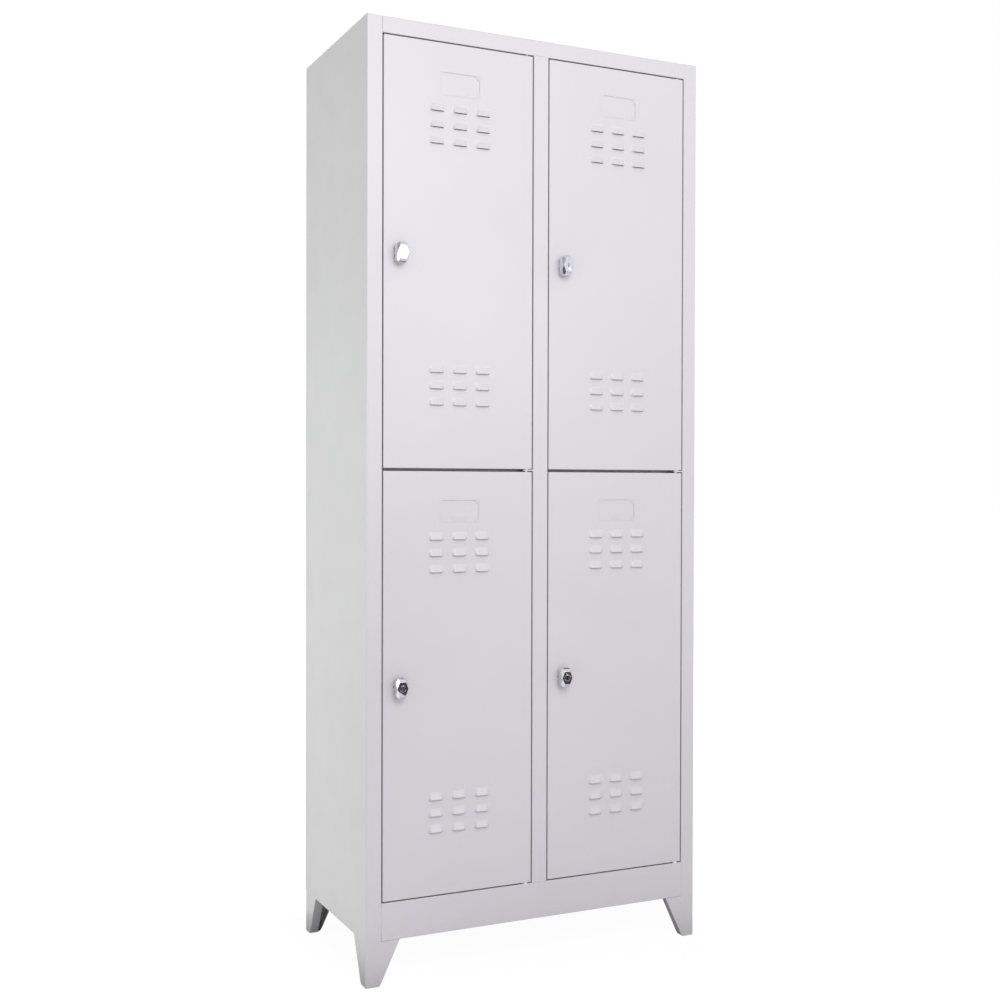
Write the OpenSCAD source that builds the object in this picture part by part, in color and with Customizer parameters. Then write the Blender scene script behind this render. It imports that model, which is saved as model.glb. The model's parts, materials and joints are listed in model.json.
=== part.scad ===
// Two-column steel locker cabinet. Four hinged doors with knob locks close a folded
// sheet-metal carcass that stands on four pressed corner feet.
// Millimetres, +Z up, the doors face -Y, the floor is Z = 0.

/* [Cabinet] */
// Width over the two side panels
cabinet_w = 740; // [660:10:900]
// Height from the floor to the top panel
cabinet_h = 1850; // [1600:10:2200]
// Depth from the door faces to the back panel
cabinet_d = 380; // [300:10:520]
// Height of the feet under the carcass
foot_h = 86; // [70:1:140]
// Thickness of the folded body sheet
sheet_t = 0.8; // [0.7:0.1:1]

/* [Front frame] */
// Face width of each side stile
stile_w = 31.3; // [28:0.1:45]
// Face width of the post between the two columns
post_w = 32.8; // [30:0.1:50]
// Face height of the rail above the doors
top_rail_h = 31.5; // [25:0.5:60]
// Face height of the rail below the doors
bottom_rail_h = 72.4; // [40:0.1:120]
// Gap round each door
door_gap = 2.4; // [2.2:0.1:3]
// Gap between an upper and a lower door
middle_gap = 5.5; // [5:0.1:8]

/* [Doors] */
// Depth of a door pan
door_t = 17; // [15:0.5:18]
// Width of one louvre
louvre_w = 33; // [24:1:36]
// Height of one louvre
louvre_h = 15; // [10:0.5:18]
// How far a louvre stands out of the door
louvre_out = 5; // [3.5:0.1:6]
// Distance between louvre columns
louvre_pitch_x = 49; // [42:1:60]
// Distance between louvre rows
louvre_pitch_z = 31.6; // [24:0.2:40]
// Width of the pressed label field
label_w = 85; // [60:1:110]
// Height of the pressed label field
label_h = 45; // [30:1:50]

/* [Locks] */
// How far a knob stands out of the door
knob_out = 25; // [23:0.5:30]
// Height of a knob while it stands upright
knob_h = 42; // [38:0.5:50]
// Width of a knob
knob_w = 23; // [21:0.5:28]
// Height of the six-sided knob face
knob_face = 25; // [20:0.5:28]
// Distance from the lock edge of a door to the knob axis
lock_inset = 31.4; // [29:0.1:36]

/* [Fittings] */
// Radius of a hinge pin
pin_r = 3; // [2:0.1:3.5]
// Distance from the hinge edge of a door to the pin axis
pin_inset = 11; // [10:0.5:14]
// Radius of a hanger rod
rod_r = 9.5; // [8:0.5:12]
// Drop from the roof of a compartment to its hanger rod
rod_drop = 75; // [55:5:120]

/* [Hidden] */
$fn = 48;
run = 0.05;                         // radial clearance of a turning pin
seam = 0.1;                         // gap between neighbouring fixed sheets
wall = sheet_t + seam;
fold_steps = 4;                     // flats in one rounded fold
tight = 0.5;                        // inside radius of a small fold
rivet_head = 0.9;
total_d = knob_out + cabinet_d + rivet_head;
front_y = knob_out - total_d / 2;   // faces of doors, stiles and rails
back_y = front_y + cabinet_d;       // outside of the back panel
inner_back = back_y - sheet_t - seam;   // rear edge of the side panels
half_w = cabinet_w / 2;
top_z = cabinet_h - sheet_t - seam; // top edge of side and back panels
sill_z = foot_h + bottom_rail_h;    // lower edge of the door openings
head_z = cabinet_h - top_rail_h;    // upper edge of the door openings
frame_d = door_t + 2.5 + sheet_t;   // depth of the frame returns
stop_w = 10;                        // strike beside the lock edge
strike_y = [frame_d + seam, frame_d - sheet_t]; // front faces of the left and right strikes
open_x = half_w - stile_w;          // outer edge of each opening
open_w = open_x - post_w / 2;
door_w = open_w - 2 * door_gap;
door_h = (head_z - sill_z - 2 * door_gap - middle_gap) / 2;
door_x = [-open_x + door_gap, post_w / 2 + door_gap];
door_z = [sill_z + door_gap, head_z - door_gap - door_h];
shelf_z = sill_z + door_gap + door_h + middle_gap / 2;
hinge_x = [-post_w / 2, open_x];    // hinge edge of each opening
pin_y = 6.5;                        // pin axis behind the door face
pin_grip = 8;                       // length of pin inside a door
door_sweep = pin_y + norm([pin_inset, door_t - pin_y]); // how deep a swinging door reaches
door_lip = 10;
nose_run = 13;                      // folded front nose of a shelf
nose_drop = 14;
nose_rise = 9;
skirt = 14;                         // turned-down edges of the floor and the rails
door_fold = 1.6;
corner_fold = 3.2;
label_drop = 56;                    // top of the door to the label field
label_deep = 1.6;
label_tab_y = [0.2, 0.9];           // front and back of the tabs that hold a label card
notch_w = 45;                       // width of the finger notch at its top
notch_foot = 24;
notch_h = 12;
notch_deep = 0.8;
tab_leg = 11;
upper_slots = 133;                  // top of the door to the first slot
lower_slots = 123;                  // foot of the door to the lowest slot
rows = 3;
columns = 3;
slot_rows = concat([for (i = [0:rows - 1]) lower_slots + i * louvre_pitch_z],
    [for (i = [0:rows - 1]) door_h - upper_slots - i * louvre_pitch_z]);
lock_z = door_h * 0.497;
housing_r = 9.5;
shaft_r = 7;
neck_r = 9.8;
collar_h = 3;
rim_back = 9;                       // the widest edge of a knob, measured from the door
rim_front = knob_out - 7.1;         // start of the bevels round the face
shoulder_h = knob_h - 7;            // height of a knob where its two end bevels meet
shoulder_out = knob_out - 2.9;
face_w = knob_w - 0.6;              // width of the knob face
face_turn = 68;                     // slant of the four sloping edges of the face
plug_r = 6;
plug_back = 12;
key_slot = [1.6, 7];
tail = 8;                           // side of the square shaft end
cam_y = frame_d + wall + 0.4;       // front face of the cam behind the door face
shaft_back = cam_y - 0.8;
cam_t = 2.5;
cam_len = 30;
cam_w = 16;
bolt_r = 3;
bolt_hole_r = 3.3;
flange_w = 20;                      // carcass flange that the feet bolt to
foot_t = 1.5;
foot_w = 69;
foot_toe = 31;
toe_rise = 6;                       // height of the chamfer at the toe
foot_sole = 27;
foot_fold = 18;
foot_bolt = [12, 48];
rivet_r = 1.6;
rivet_edge = 8;
rivet_rows = 7;
fixing_r = 4.5;
fixing_x = half_w - 90;
fixing_drop = 60;
bracket_t = 2.5;
bracket_z = shelf_z - 0.75;         // underside of the middle hinge brackets
bracket_len = 19;
bracket_w = 13;
bracket_y = front_y + sheet_t + 0.2 + bracket_w / 2;
washer_r = 5.5;
rod_z = [shelf_z - rod_drop, head_z - rod_drop];
rod_y = (front_y + back_y) / 2 + 8;
rod_wall = 1.2;
socket_r = 17;

body_grey = [0.84, 0.84, 0.83];
chrome = [0.80, 0.81, 0.83];
zinc = [0.68, 0.69, 0.70];
rubber = [0.12, 0.12, 0.12];
nylon = [0.90, 0.90, 0.88];

// ---------- folded sheet ----------

function unit(v) = v / norm(v);
function left_of(v) = [-v[1], v[0]];

// points round the fold at b between the flats a-b and b-c
function fold(a, b, c, r) =
    let (u = unit(b - a), v = unit(c - b),
         side = u[0] * v[1] - u[1] * v[0] > 0 ? 1 : -1,
         angle = acos(u * v),
         arm = -side * r * left_of(u),
         centre = b - u * r * tan(angle / 2) - arm)
    [for (i = [0:fold_steps]) let (q = side * angle * i / fold_steps)
        centre + [arm[0] * cos(q) - arm[1] * sin(q), arm[0] * sin(q) + arm[1] * cos(q)]];

function folded(path, radii) = [for (i = [0:len(path) - 1])
    each (i == 0 || i == len(path) - 1 ? [path[i]]
        : fold(path[i - 1], path[i], path[i + 1], radii[i - 1]))];

// point i of the path moved to its left by t
function beside(p, i, t) =
    let (a = i == 0 ? unit(p[1] - p[0]) : unit(p[i] - p[i - 1]),
         b = i == len(p) - 1 ? a : unit(p[i + 1] - p[i]))
    p[i] + (left_of(a) + left_of(b)) * t / (1 + a * b);

// section of a sheet whose inner surface follows the path, with its thickness to the left
module sheet_section(path, radii, t = sheet_t) {
    line = folded(path, radii);
    polygon(concat(line, [for (i = [len(line) - 1:-1:0]) beside(line, i, t)]));
}

module upright(z0, z1) { translate([0, 0, z0]) linear_extrude(z1 - z0) children(); }

// extrudes a (y, z) section along x
module across(x0, x1) {
    translate([x0, 0, 0]) rotate([90, 0, 90]) linear_extrude(x1 - x0) children();
}

module box(x0, x1, y0, y1, z0, z1) {
    translate([x0, y0, z0]) cube([x1 - x0, y1 - y0, z1 - z0]);
}

module flip_x(on = true) { if (on) mirror([1, 0, 0]) children(); else children(); }
module flip_y(on = true) { if (on) mirror([0, 1, 0]) children(); else children(); }

// ---------- carcass ----------

// outline of a side panel seen from above, for the left side of the cabinet
module side_section() {
    sheet_section([
        [-open_x - sheet_t - stop_w, front_y + frame_d - sheet_t],
        [-open_x - sheet_t, front_y + frame_d - sheet_t],
        [-open_x - sheet_t, front_y + sheet_t],
        [-half_w + sheet_t, front_y + sheet_t],
        [-half_w + sheet_t, inner_back - sheet_t],
        [-half_w + 2 * rivet_edge, inner_back - sheet_t]],
        [tight, tight, corner_fold - sheet_t, tight]);
}

module side_panel() {
    difference() {
        union() {
            upright(foot_h, top_z) side_section();
            box(-half_w + sheet_t / 2, -half_w + flange_w, front_y + corner_fold,
                inner_back - sheet_t, foot_h, foot_h + sheet_t);
        }
        foot_bolt_places() if ($side && $left) cylinder(r = bolt_hole_r, h = 30, center = true);
        back_rivet_places() rivet_hole();
    }
}

module side_panel_left() { color(body_grey) side_panel(); }

module side_panel_right() {
    color(body_grey) difference() {
        flip_x() side_panel();
        bracket_slot(1);
    }
}

// flat strip behind the left stile that the left doors close and lock against
module strike_strip() {
    color(body_grey) box(-open_x - stop_w, -open_x + stop_w, front_y + strike_y[0],
        front_y + strike_y[0] + sheet_t, sill_z + stop_w, head_z - skirt);
}

module top_panel() {
    color(body_grey) difference() {
        union() {
            across(-open_x + seam, open_x - seam) sheet_section([
                [front_y + frame_d - sheet_t, head_z + 12],
                [front_y + frame_d - sheet_t, head_z + sheet_t],
                [front_y + sheet_t, head_z + sheet_t],
                [front_y + sheet_t, cabinet_h - sheet_t],
                [front_y + frame_d, cabinet_h - sheet_t]], [tight, tight, tight * 4]);
            box(-half_w, half_w, front_y + corner_fold, back_y, cabinet_h - sheet_t, cabinet_h);
            for (x = [-half_w, open_x - seam])
                box(x, x + stile_w + seam, front_y + seam, front_y + 2 * corner_fold,
                    cabinet_h - sheet_t, cabinet_h);
            for (x = [-half_w + wall, half_w - wall - sheet_t])
                box(x, x + sheet_t, front_y + frame_d + 2 * wall, inner_back - wall - tight,
                    cabinet_h - 2 * rivet_edge, cabinet_h - sheet_t / 2);
            box(-half_w + 2 * rivet_edge + seam, half_w - 2 * rivet_edge - seam,
                inner_back - sheet_t, inner_back, cabinet_h - 2 * rivet_edge,
                cabinet_h - sheet_t / 2);
        }
        hinge_places() at_pin(head_z) cylinder(r = pin_r + run, h = 10, center = true);
        back_rivet_places() rivet_hole();
    }
}

module bottom_rail() {
    color(body_grey) difference() {
        across(-open_x + seam, open_x - seam) sheet_section([
            [front_y + flange_w, foot_h + sheet_t],
            [front_y + sheet_t, foot_h + sheet_t],
            [front_y + sheet_t, sill_z - sheet_t],
            [front_y + frame_d - sheet_t, sill_z - sheet_t],
            [front_y + frame_d - sheet_t, sill_z - skirt]], [tight, tight, tight]);
        hinge_places() at_pin(sill_z) cylinder(r = pin_r + run, h = 10, center = true);
        foot_bolt_places() if (!$side) cylinder(r = bolt_hole_r, h = 30, center = true);
    }
}

module floor_panel() {
    color(body_grey) across(-half_w + wall, half_w - wall) sheet_section([
        [front_y + frame_d + 2 * wall, sill_z - skirt],
        [front_y + frame_d + 2 * wall, sill_z - sheet_t],
        [inner_back - sheet_t - wall - tight, sill_z - sheet_t],
        [inner_back - sheet_t - wall - tight, sill_z - skirt]], [tight, tight]);
}

// pressed stiffening bead, standing into the cabinet
module bead(grow) {
    polygon([[-9 - grow, 1], [-9 - grow, 0], [-5 - grow, -4 - grow],
        [5 + grow, -4 - grow], [9 + grow, 0], [9 + grow, 1]]);
}

module bead_places() {
    for (x = [-3, -1, 1, 3]) translate([x * half_w / 4, back_y - sheet_t, 0])
        for (z = [sill_z + 60, shelf_z + 60]) upright(z, z + door_h - 120) children();
}

module back_panel() {
    color(body_grey) difference() {
        union() {
            box(-half_w, half_w, back_y - sheet_t, back_y, foot_h, top_z);
            box(-half_w + flange_w + seam, half_w - flange_w - seam,
                back_y - flange_w, back_y - sheet_t / 2, foot_h, foot_h + sheet_t);
            intersection() {
                bead_places() bead(0);
                box(-half_w, half_w, front_y, back_y - sheet_t / 2, 0, cabinet_h);
            }
        }
        bead_places() translate([0, sheet_t]) bead(0);
        foot_bolt_places() if (!$side) cylinder(r = bolt_hole_r, h = 30, center = true);
        back_rivet_places() rivet_hole();
        for (x = [-fixing_x, fixing_x]) translate([x, back_y, cabinet_h - fixing_drop])
            rotate([90, 0, 0]) cylinder(r = fixing_r, h = 10, center = true);
    }
}

module centre_post() {
    color(body_grey) difference() {
        upright(sill_z + seam, head_z - seam) sheet_section([
            [post_w / 2 + stop_w, front_y + frame_d],
            [post_w / 2 - sheet_t, front_y + frame_d],
            [post_w / 2 - sheet_t, front_y + sheet_t],
            [-post_w / 2 + sheet_t, front_y + sheet_t],
            [-post_w / 2 + sheet_t, front_y + frame_d - sheet_t],
            [-post_w / 2 + sheet_t + 9, front_y + frame_d - sheet_t]],
            [tight + sheet_t, tight, tight, tight]);
        bracket_slot(0);
    }
}

module centre_partition() {
    color(body_grey) upright(sill_z + seam, head_z - seam) sheet_section([
        [-11, front_y + 2 * sheet_t + seam], [sheet_t, front_y + 2 * sheet_t + seam],
        [sheet_t, inner_back - sheet_t - wall], [14, inner_back - sheet_t - wall]],
        [tight + sheet_t, tight]);
}

// shelf between an upper and a lower compartment, with a folded front nose
module shelf(x0, x1) {
    nose = front_y + sheet_t + max(frame_d + wall + seam, door_sweep + 0.5);
    across(x0, x1) sheet_section([
        [nose + nose_run, shelf_z - nose_drop], [nose, shelf_z - nose_drop],
        [nose, shelf_z + nose_rise], [nose + nose_run, shelf_z + nose_rise],
        [nose + nose_run, shelf_z],
        [inner_back - sheet_t - 2 * wall - tight, shelf_z],
        [inner_back - sheet_t - 2 * wall - tight, shelf_z - 12]],
        [tight, tight, tight, tight + sheet_t, tight]);
}

module shelf_left() { color(body_grey) shelf(-half_w + wall, -seam); }
module shelf_right() { color(body_grey) shelf(sheet_t + seam, half_w - wall); }

// ---------- feet ----------

// every foot bolt, $side for the ones under a side panel, $left for those on the left
module foot_bolt_places() {
    for (left = [true, false], rear = [false, true], side = [true, false])
        let ($left = left, $rear = rear, $side = side)
            translate([(left ? -1 : 1) * (half_w - foot_bolt[side ? 0 : 1]),
                rear ? back_y - foot_bolt[side ? 1 : 0] : front_y + foot_bolt[side ? 1 : 0],
                foot_h]) children();
}

// front left foot with its outer corner at the origin
module foot_shape() {
    top = foot_h - seam;
    slope = [[0, -1], [foot_sole, -1], [foot_sole, 0], [foot_toe, toe_rise],
        [foot_w, top], [0, top]];
    web = [[foot_sole, 0], [foot_toe, toe_rise], [foot_w, top], [foot_w - 2 * foot_t, top],
        [foot_toe - foot_t, toe_rise], [foot_sole - foot_t, 0]];
    difference() {
        union() {
            intersection() {
                upright(0, top) sheet_section([[foot_w + 5, foot_t], [foot_t, foot_t],
                    [foot_t, foot_w + 5]], [corner_fold - foot_t], foot_t);
                rotate([90, 0, 0]) linear_extrude(4 * foot_w, center = true) polygon(slope);
                across(-foot_w, 2 * foot_w) polygon(slope);
            }
            translate([0, foot_fold, 0]) rotate([90, 0, 0])
                linear_extrude(foot_fold - foot_t / 2) polygon(web);
            across(foot_t / 2, foot_fold) polygon(web);
            upright(top - foot_t, top) polygon([[foot_t / 2, foot_t / 2],
                [foot_w - foot_t, foot_t / 2], [foot_w - foot_t, foot_fold + 8],
                [foot_fold + 8, foot_w - foot_t], [foot_t / 2, foot_w - foot_t]]);
            upright(0, foot_t) polygon([[foot_t / 2, foot_t / 2], [foot_sole, foot_t / 2],
                [foot_sole, foot_fold], [foot_fold, foot_sole], [foot_t / 2, foot_sole]]);
        }
        for (p = [foot_bolt, [foot_bolt[1], foot_bolt[0]]])
            translate([p[0], p[1], top]) cylinder(r = bolt_hole_r, h = 6, center = true);
    }
}

module foot(left, rear) {
    color(body_grey) translate([left ? -half_w : half_w, rear ? back_y : front_y, 0])
        flip_x(!left) flip_y(rear) foot_shape();
}

module foot_front_left() { foot(true, false); }
module foot_front_right() { foot(false, false); }
module foot_rear_left() { foot(true, true); }
module foot_rear_right() { foot(false, true); }

module foot_bolts() {
    head_top = -seam - foot_t;
    color(zinc) foot_bolt_places() {
        translate([0, 0, head_top - 4]) cylinder(r = 5.6, h = 4, $fn = 6);
        translate([0, 0, head_top - 1]) cylinder(r = bolt_r, h = 15);
        translate([0, 0, sheet_t + seam / 2]) difference() {
            cylinder(r = 5.6, h = 5, $fn = 6);
            cylinder(r = bolt_r + run, h = 20, center = true);
        }
    }
}

// ---------- hinges ----------

module hinge_places() { for ($side = [0, 1]) children(); }

module at_pin(z) {
    translate([hinge_x[$side] - door_gap - pin_inset, front_y + pin_y, z]) children();
}

// slot in the return beside the middle gap, where a hinge bracket passes through
module bracket_slot(side) {
    box(hinge_x[side] - 1, hinge_x[side] + 2 * sheet_t, bracket_y - bracket_w / 2 - seam,
        bracket_y + bracket_w / 2 + seam, bracket_z - seam, bracket_z + bracket_t + seam);
}

module hinge_brackets() {
    color(body_grey) hinge_places() difference() {
        translate([hinge_x[$side], bracket_y, bracket_z]) union() {
            upright(0, bracket_t) polygon([[4, -bracket_w / 2], [4, bracket_w / 2],
                [-bracket_len + 4, bracket_w / 2], [-bracket_len, bracket_w / 2 - 4],
                [-bracket_len, 4 - bracket_w / 2], [-bracket_len + 4, -bracket_w / 2]]);
            box(wall, wall + bracket_t, 2 - bracket_w / 2, bracket_w / 2, -12, bracket_t);
        }
        at_pin(bracket_z) cylinder(r = pin_r + run, h = 20, center = true);
    }
}

module hinge_pin(z0, z1, head_z0) {
    at_pin(z0) cylinder(r = pin_r, h = z1 - z0);
    at_pin(head_z0) cylinder(r = pin_r + 2, h = 2);
}

module top_hinge_pins() {
    color(zinc) hinge_places()
        hinge_pin(head_z - door_gap - pin_grip, head_z + sheet_t + 1, head_z + wall);
}

module middle_hinge_pins() {
    color(zinc) hinge_places() at_pin(0) {
        translate([0, 0, shelf_z - middle_gap / 2 - pin_grip])
            cylinder(r = pin_r, h = middle_gap + 2 * pin_grip);
        translate([0, 0, shelf_z - middle_gap / 2 + 0.5])
            cylinder(r = pin_r + 1.5, h = bracket_z - seam - shelf_z + middle_gap / 2 - 0.5);
    }
}

module bottom_hinge_pins() {
    color(zinc) hinge_places()
        hinge_pin(sill_z - sheet_t - 1, sill_z + door_gap + pin_grip, sill_z - wall - 2);
}

module hinge_washers() {
    upper = bracket_z + bracket_t + seam / 2;
    color(nylon) hinge_places() {
        at_pin(sill_z + seam / 2) washer(door_gap - seam);
        at_pin(upper) washer(door_z[1] - seam / 2 - upper);
    }
}

module washer(h) {
    difference() {
        cylinder(r = washer_r, h = h);
        cylinder(r = pin_r + run, h = 20, center = true);
    }
}

// ---------- inside fittings ----------

module rod_span(side) {
    x0 = side == 0 ? -half_w + wall : sheet_t + seam;
    x1 = side == 0 ? -seam : half_w - wall;
    translate([x0, rod_y, 0]) rotate([0, 90, 0]) let ($span = x1 - x0) children();
}

module hanger_rod(side, tier) {
    color(chrome) translate([0, 0, rod_z[tier]]) rod_span(side) difference() {
        translate([0, 0, 2]) cylinder(r = rod_r, h = $span - 4);
        cylinder(r = rod_r - rod_wall, h = 3 * $span, center = true);
    }
}

module hanger_rod_lower_left() { hanger_rod(0, 0); }
module hanger_rod_lower_right() { hanger_rod(1, 0); }
module hanger_rod_upper_left() { hanger_rod(0, 1); }
module hanger_rod_upper_right() { hanger_rod(1, 1); }

// flanged cup that carries one end of a rod
module rod_socket() {
    rotate_extrude() polygon([[0, 0], [socket_r, 0], [socket_r, 1], [socket_r - 1, 1.6],
        [rod_r + 2.5, 1.6], [rod_r + 2, 12], [rod_r + run, 12], [rod_r + run, 1.6], [0, 1.6]]);
}

module rod_sockets() {
    color(chrome) for (side = [0, 1], tier = [0, 1]) translate([0, 0, rod_z[tier]])
        rod_span(side) {
            rod_socket();
            translate([0, 0, $span]) mirror([0, 0, 1]) rod_socket();
        }
}

// rivets through the back panel, down both sides and along the top
module back_rivet_places() {
    first = foot_h + 40;
    step = (top_z - 40 - first) / (rivet_rows - 1);
    for (x = [rivet_edge - half_w, half_w - rivet_edge], i = [0:rivet_rows - 1])
        translate([x, back_y, first + i * step]) children();
    for (x = [-half_w / 2, 0, half_w / 2])
        translate([x, back_y, cabinet_h - rivet_edge]) children();
}

module rivet_hole() { rotate([90, 0, 0]) cylinder(r = rivet_r + run, h = 12, center = true); }

module back_rivets() {
    grip = 2 * sheet_t + seam;
    color(zinc) back_rivet_places() rotate([90, 0, 0]) rotate_extrude()
        polygon([[0, -rivet_head], [1.6, -rivet_head * 0.85], [2.7, -rivet_head * 0.45],
            [3.2, 0], [rivet_r, 0], [rivet_r, grip + seam / 2], [2.3, grip + seam / 2],
            [2.3, grip + 1], [1.4, grip + 1.8], [0, grip + 1.8]]);
}

module door_buffers() {
    color(rubber) for (side = [0, 1], tier = [0, 1], z = [30, door_h - 30])
        let (thick = strike_y[side] - door_t - 0.3)
            translate([door_x[side] + 3.5, front_y + strike_y[side], door_z[tier] + z])
                rotate([90, 0, 0]) rotate_extrude() polygon([[0, 0], [3.4, 0],
                    [3.2, thick * 0.6], [2.4, thick], [0, thick]]);
}

// ---------- doors ----------

// places its children in the frame of one door: x from the lock edge, y from the face
module in_door(side, tier) { translate([door_x[side], front_y, door_z[tier]]) children(); }

module pan(inset, r) {
    far = door_t - inset;
    intersection() {
        upright(inset, door_h - inset) polygon(folded([[inset, far], [inset, inset],
            [door_w - inset, inset], [door_w - inset, far]], [r, r]));
        across(inset, door_w - inset) polygon(folded([[far, inset], [inset, inset],
            [inset, door_h - inset], [far, door_h - inset]], [r, r]));
    }
}

// all louvre bodies of a door: row profiles crossed with column profiles
module louvres(hollow) {
    shift = hollow ? 0.85 : 0;
    inner = hollow ? sheet_t + 0.4 : 0.3;
    foot = hollow ? -0.3 : 0;
    front = shift - louvre_out;
    intersection() {
        across(0, door_w) for (z = slot_rows) translate([0, z]) polygon([
            [inner, foot], [front, foot], [front, 0.5],
            [shift - louvre_out * 0.86, louvre_h * 0.22],
            [shift - louvre_out * 0.5, louvre_h * 0.62],
            [shift - louvre_out * 0.12, louvre_h * 0.95],
            [shift + 0.3, louvre_h], [inner, louvre_h]]);
        upright(0, door_h) for (i = [0:columns - 1])
            translate([door_w / 2 + (i - (columns - 1) / 2) * louvre_pitch_x, 0]) polygon([
                [shift - louvre_w / 2, inner], [shift - louvre_w / 2, shift],
                [shift + 1.2 - louvre_w / 2, shift - louvre_out * 0.55],
                [shift + 4 - louvre_w / 2, front - 0.1],
                [louvre_w / 2 - 4 - shift, front - 0.1],
                [louvre_w / 2 - 1.2 - shift, shift - louvre_out * 0.55],
                [louvre_w / 2 - shift, shift], [louvre_w / 2 - shift, inner]]);
    }
}

// label field with a finger notch that deepens towards its foot; grow is the sheet round it
module label_field(grow) {
    z0 = door_h - label_drop - label_h;
    x0 = (door_w - label_w) / 2;
    box(x0 - grow, x0 + label_w + grow, grow - 1, label_deep + grow, z0 - grow,
        z0 + label_h + grow);
    intersection() {
        across(0, door_w) translate([label_deep + grow, z0 + 1]) polygon([[-1, -grow],
            [notch_deep, -grow], [0, notch_h + grow], [-1, notch_h + grow]]);
        translate([door_w / 2, door_t, z0 + 1]) rotate([90, 0, 0]) linear_extrude(door_t)
            polygon([[-notch_foot / 2 - grow, -grow], [notch_foot / 2 + grow, -grow],
                [notch_w / 2 + grow, notch_h + grow], [-notch_w / 2 - grow, notch_h + grow]]);
    }
}

// corner tabs that hold a label card in its field
module label_tabs() {
    z0 = door_h - label_drop - label_h / 2;
    for (sx = [-1, 1], sz = [-1, 1])
        translate([door_w / 2, label_tab_y[1], z0]) rotate([90, 0, 0])
            linear_extrude(label_tab_y[1] - label_tab_y[0]) polygon([
                [sx * (label_w / 2 + 0.5), sz * (label_h / 2 + 0.5)],
                [sx * (label_w / 2 - tab_leg), sz * (label_h / 2 + 0.5)],
                [sx * (label_w / 2 + 0.5), sz * (label_h / 2 - tab_leg)]]);
}

module door(side, tier) {
    color(body_grey) in_door(side, tier) union() {
        difference() {
            union() {
                pan(0, door_fold);
                louvres(false);
            }
            difference() {
                pan(sheet_t, door_fold - sheet_t);
                label_field(sheet_t);
            }
            box(door_lip, door_w - door_lip, door_t - 2 * sheet_t, door_t + 1, door_lip,
                door_h - door_lip);
            louvres(true);
            label_field(0);
            translate([door_w - pin_inset, pin_y, 0])
                cylinder(r = pin_r + run, h = 3 * door_h, center = true);
            translate([lock_inset, 0, lock_z]) rotate([90, 0, 0])
                cylinder(r = housing_r + seam, h = 10, center = true);
        }
        label_tabs();
    }
}

module door_lower_left() { door(0, 0); }
module door_lower_right() { door(1, 0); }
module door_upper_left() { door(0, 1); }
module door_upper_right() { door(1, 1); }

// hat-shaped stiffener behind the middle of a door
module stiffener(side, tier) {
    skin = sheet_t + seam;
    crown = door_t - 5;
    color(body_grey) in_door(side, tier) translate([door_w / 2, 0, 0])
        upright(lower_slots + 110, door_h - upper_slots - 110) sheet_section([
            [-30, skin], [-18, skin], [-18, crown], [18, crown], [18, skin], [30, skin]],
            [tight + sheet_t, tight, tight, tight + sheet_t]);
}

module stiffener_lower_left() { stiffener(0, 0); }
module stiffener_lower_right() { stiffener(1, 0); }
module stiffener_upper_left() { stiffener(0, 1); }
module stiffener_upper_right() { stiffener(1, 1); }

// ---------- locks ----------

// frame of one lock: the axis points out of the door along +Z
module at_lock(side, tier) {
    in_door(side, tier) translate([lock_inset, 0, lock_z]) rotate([90, 0, 0]) children();
}

module lock_housing(side, tier) {
    color(chrome) at_lock(side, tier) rotate_extrude() polygon([[shaft_r + run, collar_h],
        [neck_r + 0.8, collar_h], [neck_r + 1.4, collar_h - 0.8], [neck_r + 1.4, seam / 2],
        [housing_r, seam / 2], [housing_r, -shaft_back + 1], [shaft_r + run, -shaft_back + 1]]);
}

module lock_housing_lower_left() { lock_housing(0, 0); }
module lock_housing_lower_right() { lock_housing(1, 0); }
module lock_housing_upper_left() { lock_housing(0, 1); }
module lock_housing_upper_right() { lock_housing(1, 1); }

module lock_nut(side, tier) {
    color(zinc) at_lock(side, tier) translate([0, 0, -wall - 5]) difference() {
        cylinder(r = 13.5, h = 5, $fn = 6);
        cylinder(r = housing_r + run, h = 20, center = true);
    }
}

module lock_nut_lower_left() { lock_nut(0, 0); }
module lock_nut_lower_right() { lock_nut(1, 0); }
module lock_nut_upper_left() { lock_nut(0, 1); }
module lock_nut_upper_right() { lock_nut(1, 1); }

// upright knob with a six-sided bevelled face, a neck and a shaft with a square end
module lock_knob(side, tier) {
    color(chrome) at_lock(side, tier) {
        difference() {
            intersection() {
                upright(collar_h + seam, knob_out) for (s = [-1, 0, 1]) {
                    if (s == 0) square([knob_w, knob_h - knob_w], center = true);
                    else translate([0, s * (knob_h - knob_w) / 2]) circle(r = knob_w / 2);
                }
                knob_ends();
                rotate([0, 0, 90]) bevelled_slab(knob_w / 2, neck_r, [[knob_w / 2, knob_out]]);
                face_pair(face_turn);
                face_pair(-face_turn);
            }
            translate([0, 0, plug_back]) cylinder(r = plug_r + run, h = knob_out);
        }
        translate([0, 0, -shaft_back]) cylinder(r = shaft_r, h = shaft_back + plug_back - 2);
        translate([-tail / 2, -tail / 2, -cam_y - cam_t + 0.3])
            difference() {
                cube([tail, tail, cam_y + cam_t - shaft_back + 1]);
                translate([tail / 2, tail / 2, -1]) cylinder(r = 2 + run, h = 4);
            }
    }
}

// slab that spreads from a neck to its widest edge and then follows the given edge points
module bevelled_slab(half, neck, front) {
    edge = concat([[neck, collar_h], [half, rim_back]], front);
    translate([-40, 0, 0]) rotate([90, 0, 90]) linear_extrude(80) polygon(concat(edge,
        [for (i = [len(edge) - 1:-1:0]) [-edge[i][0], edge[i][1]]]));
}

// the upper and lower ends of a knob: two bevels up to the face
module knob_ends() {
    bevelled_slab(knob_h / 2, neck_r + 3, [[knob_h / 2, rim_front],
        [shoulder_h / 2, shoulder_out], [knob_face / 2, knob_out]]);
}

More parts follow.
